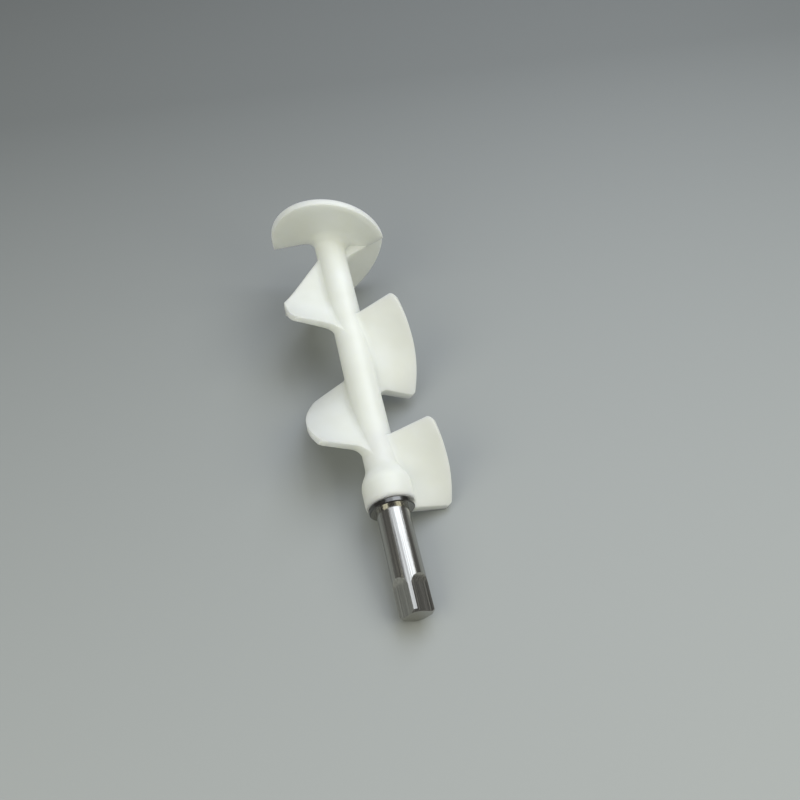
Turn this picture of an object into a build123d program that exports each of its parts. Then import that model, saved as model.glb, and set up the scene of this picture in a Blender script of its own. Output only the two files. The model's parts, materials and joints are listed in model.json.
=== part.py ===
from build123d import *
from math import atan2, cos, degrees, radians, sin, sqrt, tan
import os

os.makedirs("parts", exist_ok=True)

# Agitator shaft of a soft ice cream machine, in millimetres: a white moulded body with cut flights,
# and the steel drive shaft that it is moulded on to.
# It is drawn about the Y axis, +Y towards the far end, with Y = 0 at the hub's near face and +Z along
# the mould's draw. The mould parts at Z = 0. At the end it is laid down as it rests on a table.

# Moulded body
FLIGHT_DIA = 73.0         # diameter that every flight is cut to
ROD_DIA = 19.0
HUB_DIA = 27.6
HUB_LENGTH = 13.0         # from the near face to where the hub starts to narrow
HUB_FLARE_LENGTH = 14.0   # blend from the hub down to the rod
HUB_EDGE_RADIUS = 4.5
END_PLATE_STATION = 199.8  # where the upper end plate crosses the axis

# Wings: pieces of one left-hand flight, which stand out at right and left in turn
FLIGHT_LEAD = 266.0
WING_ROOT_WIDTH = 5.6
WING_TIP_WIDTH = 4.0
ROOT_FILLET = 5.5         # between a wing and the rod, on both sides
ROOT_SINK = 0.35          # how far that fillet laps into the rod
WING_FOOT_RADIUS = 7.0    # fillet from a wing's near end on to the rod
WING_CORNER_RADIUS = 3.0  # at the rim, at both ends of a wing
RIGHT = 0.0
LEFT = 180.0
# side, station where it crosses the parting plane, degrees of turn past it and before it, near end's rake
WINGS = {
    "hub_wing": (RIGHT, 18.0, 32.0, 24.0, 3.0),
    "second_wing": (LEFT, 60.0, 41.0, 31.0, 0.0),
    "third_wing": (RIGHT, 102.5, 37.0, 31.0, 0.0),
}
# The last wing lies level behind the lower end plate and turns up towards its near end
SWEPT_WING_NEAR = 124.0
SWEPT_WING_LEVEL = 160.0
SWEPT_WING_TURN = 31.0
SWEPT_WING_CURVE = 1.8
SWEPT_WING_FAR = 194.6    # where its far edge would cross the axis
SWEPT_WING_SLANT = 50.6   # of that edge, nearer to the left

# End plates: an upper half and a lower half, drawn straight up and straight down from the parting plane
PLATE_THICKNESS = 4.6
UPPER_PLATE_SLANT = 14.8
UPPER_PLATE_DROP = 19.0    # fall of its lower edge towards the left rim, degrees
UPPER_PLATE_DROP_START = 16.0
UPPER_PLATE_LIFT = 41.0    # rise of its lower edge towards the right rim, degrees
LOWER_PLATE_SLANT = 26.8
LOWER_PLATE_LAG = 18.3    # how far behind the upper plate the lower one crosses the axis
LOWER_PLATE_BEND = 4.4    # left of the axis, where the lower plate turns into its sweep
LOWER_PLATE_SWEEP = 46.0
LOWER_PLATE_RUNOUT = 63.0  # its left edge, cut back from the rim, degrees below level
PLATE_BEND_RADIUS = 14.0
PLATE_COVE = 5.5          # radius between a plate and the rod
PARTING_LAP = 1.4         # how far the lower plate and its ledge stand above the parting plane

# Steel drive shaft
JOURNAL_DIA = 18.0
SHAFT_REACH = 59.0        # from the hub's near face to the tip
COLLAR_DIA = 25.0
COLLAR_PROUD = 1.2
COLLAR_SEAT = 3.0         # how deep the collar sits in the hub
COLLAR_CHAMFER = 0.5
SQUARE_ACROSS = 14.0
SQUARE_LENGTH = 14.0
SQUARE_CUTTER_RADIUS = 8.0
SQUARE_TURN = 53.0        # direction of one flat, from right towards up
TIP_CHAMFER = 1.2
TAIL_DIA = 12.0           # moulded-in end
TAIL_LENGTH = 44.0
TAIL_ACROSS_FLATS = 10.0
TAIL_FLAT_LENGTH = 18.0
TAIL_GROOVE_WIDTH = 4.0
TAIL_GROOVE_DEPTH = 1.0

# How it lies: on the lower plate's rim, the tip of the steel and the hub wing's low corner
REST_ROLL = 1.0

flight_radius = FLIGHT_DIA / 2
rod_radius = ROD_DIA / 2
hub_radius = HUB_DIA / 2
journal_radius = JOURNAL_DIA / 2
collar_radius = COLLAR_DIA / 2
tail_radius = TAIL_DIA / 2
plate_overreach = flight_radius + 2 * PLATE_THICKNESS
lower_plate_station = END_PLATE_STATION - LOWER_PLATE_LAG
cross_out = LOWER_PLATE_LAG / (tan(radians(UPPER_PLATE_SLANT)) + tan(radians(LOWER_PLATE_SLANT)))
plates_cross = (cross_out, lower_plate_station + cross_out * tan(radians(LOWER_PLATE_SLANT)))


def turned(outline):
    """A solid of revolution about Y from an outline drawn as (radius, station)."""
    return revolve(make_face(outline), axis=Axis.Y)


def chain(*points):
    """Straight edges from point to point, closed."""
    return [Line(a, b) for a, b in zip(points, points[1:] + points[:1])]


def wing_section(station, angle):
    """One slice across the axis: a tapering bar with a fillet down to the rod on both sides."""
    half_root = WING_ROOT_WIDTH / 2
    half_tip = WING_TIP_WIDTH / 2
    sunk = rod_radius - ROOT_SINK
    fillet_height = half_root + ROOT_FILLET
    fillet_out = sqrt((sunk + ROOT_FILLET) ** 2 - fillet_height ** 2)
    on_rod_share = sunk / (sunk + ROOT_FILLET)
    towards_rod = degrees(atan2(fillet_height, fillet_out)) - 180
    middle = radians((towards_rod - 90) / 2)
    edges = []
    for side in (1, -1):
        on_rod = (fillet_out * on_rod_share, side * fillet_height * on_rod_share)
        on_bar = (fillet_out, side * half_root)
        half_way = (
            fillet_out + ROOT_FILLET * cos(middle),
            side * (fillet_height + ROOT_FILLET * sin(middle)),
        )
        edges.append(Line((0, 0), on_rod))
        edges.append(ThreePointArc(on_rod, half_way, on_bar))
        edges.append(Line(on_bar, (plate_overreach, side * half_tip)))
    edges.append(Line((plate_overreach, half_tip), (plate_overreach, -half_tip)))
    outwards = (cos(radians(angle)), 0, sin(radians(angle)))
    return Plane(origin=(0, station, 0), x_dir=outwards, z_dir=(0, 1, 0)) * make_face(edges)


def wing_outline(near, far, rake=0.0):
    """What a wing is cut to: a near end, raked or square, with a foot on the rod, and a square far end."""
    foot = WING_FOOT_RADIUS
    corner = WING_CORNER_RADIUS
    outer = flight_radius + corner / 8
    foot_out = rod_radius + foot
    near_out = near + (outer - corner - foot_out) * tan(radians(rake))
    return turned([
        Line((0, near - foot), (rod_radius, near - foot)),
        RadiusArc((rod_radius, near - foot), (foot_out, near), foot),
        Line((foot_out, near), (outer - corner, near_out)),
        RadiusArc((outer - corner, near_out), (outer, near_out + corner), -corner),
        Line((outer, near_out + corner), (outer, far - corner)),
        RadiusArc((outer, far - corner), (outer - corner, far), -corner),
        Line((outer - corner, far), (0, far)),
        Line((0, far), (0, near - foot)),
    ])


def wing(side, crossing, past, before, rake):
    """A stretch of flight between its two ends."""
    margin = 1.0
    near = crossing - before / 360 * FLIGHT_LEAD
    far = crossing + past / 360 * FLIGHT_LEAD
    first = near - WING_FOOT_RADIUS - margin
    last = far + margin
    steps = 6
    slices = []
    for step in range(steps + 1):
        station = first + (last - first) * step / steps
        slices.append(wing_section(station, side + (station - crossing) / FLIGHT_LEAD * 360))
    return loft(slices) & wing_outline(near, far, rake)


def lower_plate_path():
    """The lower plate in plan, from right to left."""
    right = plate_overreach
    left = -plate_overreach
    bend = (-LOWER_PLATE_BEND, lower_plate_station - LOWER_PLATE_BEND * tan(radians(LOWER_PLATE_SLANT)))
    right_end = (right, lower_plate_station + right * tan(radians(LOWER_PLATE_SLANT)))
    left_end = (left, bend[1] + (left + LOWER_PLATE_BEND) * tan(radians(LOWER_PLATE_SWEEP)))
    return right_end, bend, left_end


def swept_wing():
    """The last wing: level where it meets the lower plate's sweep, turning up to a square near end."""
    margin = 1.0
    first = SWEPT_WING_NEAR - WING_FOOT_RADIUS - margin
    last = SWEPT_WING_FAR
    steps = 9
    slices = []
    for step in range(steps + 1):
        station = first + (last - first) * step / steps
        back = max(0.0, (SWEPT_WING_LEVEL - station) / (SWEPT_WING_LEVEL - SWEPT_WING_NEAR))
        slices.append(wing_section(station, LEFT - SWEPT_WING_TURN * back ** SWEPT_WING_CURVE))
    left = -plate_overreach
    far_left = (left, SWEPT_WING_FAR + left * tan(radians(SWEPT_WING_SLANT)))
    plan = make_face(chain((0, 0), (0, SWEPT_WING_FAR), far_left, (left, 0)))
    return loft(slices) & wing_outline(SWEPT_WING_NEAR, last) & extrude(plan, plate_overreach, both=True)


def coved_plate(station, slant):
    """A flat plate across the rod, turned by its slant, with a cove between its near face and the rod."""
    reach = 2 * plate_overreach
    slab = Box(2 * reach, PLATE_THICKNESS, 2 * reach)
    rod = Rot(Z=-slant) * Rot(X=90) * Cylinder(rod_radius, 2 * reach)
    joined = slab + rod
    near_joint = joined.edges().filter_by(GeomType.ELLIPSE).sort_by(Axis.Y)[0]
    depth = PLATE_THICKNESS + 2 * PLATE_COVE
    near_part = Pos(0, (PLATE_THICKNESS - depth) / 2, 0) * Box(2 * reach, depth, 2 * reach)
    return Pos(0, station, 0) * Rot(Z=slant) * (fillet(near_joint, PLATE_COVE) & near_part)


def upper_plate():
    """A flat half plate, nearer on the right; its lower edge falls to the left and rises to the right."""
    reach = 2 * plate_overreach
    left_fall = (reach - UPPER_PLATE_DROP_START) * tan(radians(UPPER_PLATE_DROP))
    right_rise = (reach - plates_cross[0]) * tan(radians(UPPER_PLATE_LIFT))
    above = extrude(Plane.XZ * make_face(chain(
        (-reach, -left_fall),
        (-UPPER_PLATE_DROP_START, 0),
        (plates_cross[0], 0),
        (reach, right_rise),
        (reach, 2 * reach),
        (-reach, 2 * reach),
    )), reach, both=True)
    return coved_plate(END_PLATE_STATION, -UPPER_PLATE_SLANT) & Pos(0, END_PLATE_STATION, 0) * above


def lower_plate():
    """A half plate below the parting plane, slanting farther on the right and swept back on the left."""
    reach = plate_overreach
    path = FilletPolyline(*lower_plate_path(), radius=PLATE_BEND_RADIUS)
    bent = Pos(0, 0, PARTING_LAP) * extrude(trace(path, PLATE_THICKNESS), -reach - PARTING_LAP)
    right_half = Pos(0, lower_plate_station, PARTING_LAP) * Box(
        reach, 2 * reach, reach + PARTING_LAP, align=(Align.MIN, Align.CENTER, Align.MAX)
    )
    cut_back = extrude(Plane.XZ * make_face(chain(
        (-flight_radius, 0),
        (-2 * reach, 0),
        (-2 * reach, -2 * reach),
        (-flight_radius + 2 * reach / tan(radians(LOWER_PLATE_RUNOUT)), -2 * reach),
    )), 2 * reach, both=True)
    bent = bent - Pos(0, lower_plate_station, 0) * cut_back
    return bent + (coved_plate(lower_plate_station, LOWER_PLATE_SLANT) & right_half)


def ledge():
    """What joins the two plates on the right: a level triangle at the rod and a rising web at the rim."""
    level = make_face(chain((0, lower_plate_station), plates_cross, (0, END_PLATE_STATION)))
    level = Pos(0, 0, PARTING_LAP) * extrude(level, -PLATE_THICKNESS)
    beyond = plate_overreach - plates_cross[0]
    low = lower_plate_station + plate_overreach * tan(radians(LOWER_PLATE_SLANT))
    high = END_PLATE_STATION - plate_overreach * tan(radians(UPPER_PLATE_SLANT))
    lift = PARTING_LAP + beyond * tan(radians(UPPER_PLATE_LIFT))
    end = make_face(chain((low, PARTING_LAP - PLATE_THICKNESS), (low, PARTING_LAP), (high, lift)))
    outer = Plane(origin=(plate_overreach, 0, 0), x_dir=(0, 1, 0), z_dir=(1, 0, 0)) * end
    return level + loft([outer, Vertex(*plates_cross, 0)], ruled=True)


def hub_and_rod():
    """Hub with a rounded near edge, narrowing in a smooth blend to the rod."""
    edge = HUB_EDGE_RADIUS
    narrow = HUB_LENGTH + HUB_FLARE_LENGTH
    length = END_PLATE_STATION + plate_overreach
    solid = turned([
        Line((0, 0), (hub_radius - edge, 0)),
        RadiusArc((hub_radius - edge, 0), (hub_radius, edge), -edge),
        Line((hub_radius, edge), (hub_radius, HUB_LENGTH)),
        Spline((hub_radius, HUB_LENGTH), (rod_radius, narrow), tangents=((0, 1), (0, 1))),
        Line((rod_radius, narrow), (rod_radius, length)),
        Line((rod_radius, length), (0, length)),
        Line((0, length), (0, 0)),
    ])
    past_plate = Pos(0, PLATE_THICKNESS / 2 + plate_overreach, 0) * Box(
        4 * flight_radius, 2 * plate_overreach, 4 * flight_radius
    )
    return solid - Pos(0, END_PLATE_STATION, 0) * Rot(Z=-UPPER_PLATE_SLANT) * past_plate


def drive_shaft():
    """Turned steel: a moulded-in tail, a collar, a round journal and a milled square end."""
    tip = -SHAFT_REACH
    groove_far = TAIL_LENGTH - TAIL_FLAT_LENGTH
    groove_near = groove_far - TAIL_GROOVE_WIDTH
    solid = turned(chain(
        (0, tip),
        (journal_radius - TIP_CHAMFER, tip),
        (journal_radius, tip + TIP_CHAMFER),
        (journal_radius, -COLLAR_PROUD),
        (collar_radius - COLLAR_CHAMFER, -COLLAR_PROUD),
        (collar_radius, COLLAR_CHAMFER - COLLAR_PROUD),
        (collar_radius, COLLAR_SEAT),
        (tail_radius, COLLAR_SEAT),
        (tail_radius, groove_near),
        (tail_radius - TAIL_GROOVE_DEPTH, groove_near),
        (tail_radius - TAIL_GROOVE_DEPTH, groove_far),
        (tail_radius, groove_far),
        (tail_radius, TAIL_LENGTH),
        (0, TAIL_LENGTH),
    ))
    depth = journal_radius
    flat_end = tip + SQUARE_LENGTH
    mill = Pos(SQUARE_ACROSS / 2 + depth / 2, tip + SQUARE_LENGTH / 2, 0) * Box(
        depth, SQUARE_LENGTH, JOURNAL_DIA
    ) + Pos(SQUARE_ACROSS / 2 + SQUARE_CUTTER_RADIUS, flat_end, 0) * Cylinder(
        SQUARE_CUTTER_RADIUS, JOURNAL_DIA
    )
    for quarter in range(4):
        solid = solid - Rot(Y=-(SQUARE_TURN + 90 * quarter)) * mill
    for side in (1, -1):
        cut = Pos(side * (TAIL_ACROSS_FLATS + depth) / 2, TAIL_LENGTH - TAIL_FLAT_LENGTH / 2, 0)
        solid = solid - cut * Box(depth, TAIL_FLAT_LENGTH, TAIL_DIA)
    return solid


# The flights are made over size and cut to the flight diameter together, from the hub's near face on
flight_length = END_PLATE_STATION + plate_overreach
flight_envelope = Rot(X=-90) * Cylinder(
    flight_radius, flight_length, align=(Align.CENTER, Align.CENTER, Align.MIN)
)
flights = swept_wing() + lower_plate() + upper_plate() + ledge()
for row in WINGS.values():
    flights = flights + wing(*row)
body = hub_and_rod() + (flights & flight_envelope)

shaft = drive_shaft()
body = body - shaft

# Laid on the table: the far end stands up on the lower plate, the near end down on the steel tip
rim_station = lower_plate_station - PLATE_THICKNESS / 2
tip_station = TIP_CHAMFER - SHAFT_REACH
dip = degrees(atan2(flight_radius - journal_radius, rim_station - tip_station))
at_rest = Rot(X=dip) * Rot(Y=REST_ROLL)
laid = Compound([at_rest * body, at_rest * shaft]).bounding_box()
to_origin = Pos(-laid.center().X, -laid.center().Y, -laid.min.Z)
pieces = {"agitator_body": to_origin * at_rest * body, "drive_shaft": to_origin * at_rest * shaft}

for name, piece in pieces.items():
    export_step(piece, f"parts/{name}.step")
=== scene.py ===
import json
import math
import bpy
from mathutils import Matrix, Vector

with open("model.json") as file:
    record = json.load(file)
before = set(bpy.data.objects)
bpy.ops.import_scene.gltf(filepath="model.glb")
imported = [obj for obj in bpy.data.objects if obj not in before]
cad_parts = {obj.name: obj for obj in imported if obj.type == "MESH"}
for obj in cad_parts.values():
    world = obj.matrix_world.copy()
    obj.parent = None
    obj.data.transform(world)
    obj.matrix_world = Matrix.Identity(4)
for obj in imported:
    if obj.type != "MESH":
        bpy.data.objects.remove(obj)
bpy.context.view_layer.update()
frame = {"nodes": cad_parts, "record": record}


# Drive shaft: one piece of stainless bar, turned to a journal with a collar, its end milled to a square.
# The journal is polished along its length, which leaves long streaks over the turning marks.
# The collar's steel is painted darker, as painted shade for the dark table it reflects from below.
steel_in_streak = (0.30, 0.293, 0.27, 1)
steel_clear = (0.545, 0.535, 0.50, 1)
# painted shade: the darker steel colour for the collar and hidden tail, in place of dark reflection
painted_shade_steel = (0.15, 0.147, 0.14, 1)
steel_smoothest = 0.10
steel_roughest = 0.26
streak_stretch = (1500, 14, 1500)
ring_stretch = (60, 5200, 60)
ring_share = 0.12
mark_strength = 0.4
mark_depth = 0.0002
millimetre = 0.001
journal = next(mount for mount in frame["record"]["mounts"] if mount["name"] == "drive_journal")
journal_middle = Vector(journal["pos_m"])
journal_half = journal["dims"]["length_mm"] * millimetre / 2
towards_tip = Vector(journal["axis"])


def new_material(name):
    """A material with one shader, and the nodes and links to add to it."""
    material = bpy.data.materials.new(name)
    material.use_nodes = True
    nodes = material.node_tree.nodes
    return material, nodes, material.node_tree.links, nodes["Principled BSDF"]


def fine_grain():
    """A shared effect: two sizes of noise, stretched as asked, for finish that is never quite even."""
    group = bpy.data.node_groups.new("fine_grain", "ShaderNodeTree")
    group.interface.new_socket("Vector", in_out="INPUT", socket_type="NodeSocketVector")
    group.interface.new_socket("Stretch", in_out="INPUT", socket_type="NodeSocketVector")
    group.interface.new_socket("Fine", in_out="OUTPUT", socket_type="NodeSocketFloat")
    group.interface.new_socket("Broad", in_out="OUTPUT", socket_type="NodeSocketFloat")
    entry = group.nodes.new("NodeGroupInput")
    leave = group.nodes.new("NodeGroupOutput")
    scaled = group.nodes.new("ShaderNodeVectorMath")
    scaled.operation = "MULTIPLY"
    group.links.new(entry.outputs["Vector"], scaled.inputs[0])
    group.links.new(entry.outputs["Stretch"], scaled.inputs[1])
    for name, scale, detail in (("Fine", 1.0, 4.0), ("Broad", 0.06, 2.0)):
        noise = group.nodes.new("ShaderNodeTexNoise")
        noise.inputs["Scale"].default_value = scale
        noise.inputs["Detail"].default_value = detail
        group.links.new(scaled.outputs["Vector"], noise.inputs["Vector"])
        group.links.new(noise.outputs["Fac"], leave.inputs[name])
    return group


def add_grain(nodes, links, vector, stretch):
    """The grain in a material, on the coordinates given."""
    grain = nodes.new("ShaderNodeGroup")
    grain.node_tree = grain_group
    grain.inputs["Stretch"].default_value = stretch
    links.new(vector, grain.inputs["Vector"])
    return grain


def spread(nodes, links, value, low=0.0, high=1.0):
    """A noise value, spread from low to high over the range that noise mostly keeps to."""
    noise_low = 0.3
    noise_high = 0.7
    between = nodes.new("ShaderNodeMapRange")
    between.inputs["From Min"].default_value = noise_low
    between.inputs["From Max"].default_value = noise_high
    between.inputs["To Min"].default_value = low
    between.inputs["To Max"].default_value = high
    links.new(value, between.inputs["Value"])
    return between.outputs["Result"]


def blend(nodes, links, factor, colour_a, colour_b):
    """A node that mixes two colours by a factor."""
    mix = nodes.new("ShaderNodeMix")
    mix.data_type = "RGBA"
    mix.inputs["A"].default_value = colour_a
    mix.inputs["B"].default_value = colour_b
    links.new(factor, mix.inputs["Factor"])
    return mix


def add_bump(nodes, links, height, strength, depth):
    """A node that turns a height into small relief."""
    bump = nodes.new("ShaderNodeBump")
    bump.inputs["Strength"].default_value = strength
    bump.inputs["Distance"].default_value = depth
    links.new(height, bump.inputs["Height"])
    return bump


grain_group = fine_grain()
steel, nodes, links, shader = new_material("polished_steel")
shader.inputs["Metallic"].default_value = 1.0

# The streaks and rings lie in the shaft's own directions, with Y along it from the tip to the collar.
coordinates = nodes.new("ShaderNodeTexCoord")
along_shaft = nodes.new("ShaderNodeMapping")
along_shaft.vector_type = "TEXTURE"
along_shaft.inputs["Location"].default_value = journal_middle
turn = towards_tip.rotation_difference(Vector((0, -1, 0))).inverted()
along_shaft.inputs["Rotation"].default_value = turn.to_euler()
links.new(coordinates.outputs["Object"], along_shaft.inputs["Vector"])
streaks = add_grain(nodes, links, along_shaft.outputs["Vector"], streak_stretch)
rings = add_grain(nodes, links, along_shaft.outputs["Vector"], ring_stretch)

roughness = spread(nodes, links, streaks.outputs["Fine"], steel_smoothest, steel_roughest)
links.new(roughness, shader.inputs["Roughness"])
tone = spread(nodes, links, streaks.outputs["Fine"])
polished = blend(nodes, links, tone, steel_in_streak, steel_clear)

# Past the journal come the collar and the hidden tail, painted darker as painted shade for the dark
# reflection the collar shows.
parted = nodes.new("ShaderNodeSeparateXYZ")
links.new(along_shaft.outputs["Vector"], parted.inputs["Vector"])
on_collar_painted_shade = nodes.new("ShaderNodeMath")
on_collar_painted_shade.operation = "GREATER_THAN"
on_collar_painted_shade.inputs[1].default_value = journal_half
links.new(parted.outputs["Y"], on_collar_painted_shade.inputs[0])
colour = blend(nodes, links, on_collar_painted_shade.outputs["Value"], steel_clear, painted_shade_steel)
links.new(polished.outputs["Result"], colour.inputs["A"])
links.new(colour.outputs["Result"], shader.inputs["Base Color"])

marks = nodes.new("ShaderNodeMath")
marks.operation = "MULTIPLY_ADD"
marks.inputs[1].default_value = ring_share
links.new(rings.outputs["Fine"], marks.inputs[0])
links.new(streaks.outputs["Fine"], marks.inputs[2])
bump = add_bump(nodes, links, marks.outputs["Value"], mark_strength, mark_depth)
links.new(bump.outputs["Normal"], shader.inputs["Normal"])
for slot in frame["nodes"]["drive_shaft"].material_slots:
    slot.material = steel


# Agitator body: hub, rod, wings and end plates in one white moulding of food-grade plastic.
# It is satin from the mould with edges a little rounded, and light goes through its thin plates,
# so they glow warm where they stand in shade.
plastic_cream = (0.79, 0.805, 0.76, 1)
plastic_white = (0.825, 0.845, 0.815, 1)
plastic_smoothest = 0.36
plastic_roughest = 0.46
glow_share = 0.95
glow_reach = 0.007
glow_by_colour = (1.0, 1.0, 0.9)
edge_round = 0.0009
edge_samples = 8
grain_stretch = (900, 900, 900)
grain_strength = 0.10
grain_depth = 0.00008

plastic, nodes, links, shader = new_material("white_plastic")
shader.inputs["Subsurface Weight"].default_value = glow_share
shader.inputs["Subsurface Radius"].default_value = glow_by_colour
shader.inputs["Subsurface Scale"].default_value = glow_reach
coordinates = nodes.new("ShaderNodeTexCoord")
grain = add_grain(nodes, links, coordinates.outputs["Object"], grain_stretch)
tone = spread(nodes, links, grain.outputs["Broad"])
colour = blend(nodes, links, tone, plastic_cream, plastic_white)
links.new(colour.outputs["Result"], shader.inputs["Base Color"])
roughness = spread(nodes, links, grain.outputs["Broad"], plastic_smoothest, plastic_roughest)
links.new(roughness, shader.inputs["Roughness"])
soft_edge = nodes.new("ShaderNodeBevel")
soft_edge.samples = edge_samples
soft_edge.inputs["Radius"].default_value = edge_round
bump = add_bump(nodes, links, grain.outputs["Fine"], grain_strength, grain_depth)
links.new(soft_edge.outputs["Normal"], bump.inputs["Normal"])
links.new(bump.outputs["Normal"], shader.inputs["Normal"])
for slot in frame["nodes"]["agitator_body"].material_slots:
    slot.material = plastic


# Table: a plain matt grey top that the part lies on, wide enough to fill the view.
# It is painted paler on the camera's side and darker towards the back, as painted fall-off of the light
# across the top.
table_size = 6.0
table_roughness = 0.6
near_end = -0.25
far_end = 0.40
# painted light: the grey runs from lit near the camera to shaded at the back
painted_lit_near_grey = (0.42, 0.44, 0.445, 1)
painted_shade_far_grey = (0.20, 0.211, 0.214, 1)

bpy.ops.object.select_all(action="DESELECT")
bpy.ops.mesh.primitive_plane_add(size=table_size, location=(0, 0, 0))
table = bpy.context.object
table.name = "table"
grey, nodes, links, shader = new_material("table_grey")
shader.inputs["Roughness"].default_value = table_roughness
coordinates = nodes.new("ShaderNodeTexCoord")
parted = nodes.new("ShaderNodeSeparateXYZ")
links.new(coordinates.outputs["Object"], parted.inputs["Vector"])
away = nodes.new("ShaderNodeMapRange")
away.inputs["From Min"].default_value = near_end
away.inputs["From Max"].default_value = far_end
links.new(parted.outputs["Y"], away.inputs["Value"])
colour = blend(nodes, links, away.outputs["Result"], painted_lit_near_grey, painted_shade_far_grey)
links.new(colour.outputs["Result"], shader.inputs["Base Color"])
table.data.materials.append(grey)


# Light: a bright panel on the far right and a ceiling panel beside it, which show as streaks in the steel,
# two warm panels on the camera's side that reach the shaded plates, and a dark grey room.
# All four panels face one point near the middle of the part.
cool_white = (0.94, 1.0, 1.10)
warm_white = (1.0, 0.985, 0.80)
room_grey = (0.15, 0.15, 0.148, 1)
lit_point = Vector((0, -0.02, 0.02))
side_panel_size = (0.9, 1.4)
side_panel_out = 1.05
side_panel_along = -0.55
side_panel_height = 0.95


def panel(name, place, size, power, colour):
    """An area lamp that faces the lit point."""
    bpy.ops.object.light_add(type="AREA", location=place)
    lamp = bpy.context.object
    lamp.name = name
    lamp.data.shape = "RECTANGLE"
    lamp.data.size, lamp.data.size_y = size
    lamp.data.energy = power
    lamp.data.color = colour
    facing = (lit_point - Vector(place)).normalized()
    lamp.rotation_euler = (math.asin(facing.y), math.atan2(-facing.x, -facing.z), 0)


panel("key_panel", place=(0.50, 0.46, 0.95), size=(0.75, 0.95), power=5.7, colour=cool_white)
panel("ceiling_panel", place=(-0.09, 0.16, 1.05), size=(0.66, 0.95), power=2.4, colour=cool_white)
for name, side, power in (("left_panel", -1, 8.8), ("right_panel", 1, 9.2)):
    place = (side * side_panel_out, side_panel_along, side_panel_height)
    panel(name, place, side_panel_size, power, warm_white)

room = bpy.data.worlds.new("room")
room.use_nodes = True
room.node_tree.nodes["Background"].inputs["Color"].default_value = room_grey
bpy.context.scene.world = room
bpy.context.scene.view_settings.view_transform = "Standard"


# Camera: held by hand above the drive end, looking down along the part towards its end plates.
# It is a little to the left and looks across to the right, so the part runs up the picture at a slant.
camera_place = Vector((-0.04141, -0.28815, 0.37148))
camera_right = Vector((0.97517, -0.22136, -0.00684))
camera_forward = Vector((0.13534, 0.62005, -0.77280))
sensor_width_mm = 36.0
lens_mm = 34.65

camera_up = camera_right.cross(camera_forward)
camera_data = bpy.data.cameras.new("camera")
camera_data.sensor_width = sensor_width_mm
camera_data.lens = lens_mm
camera = bpy.data.objects.new("camera", camera_data)
bpy.context.collection.objects.link(camera)
turned = Matrix((camera_right, camera_up, -camera_forward)).transposed()
camera.matrix_world = Matrix.Translation(camera_place) @ turned.to_4x4()
bpy.context.scene.camera = camera
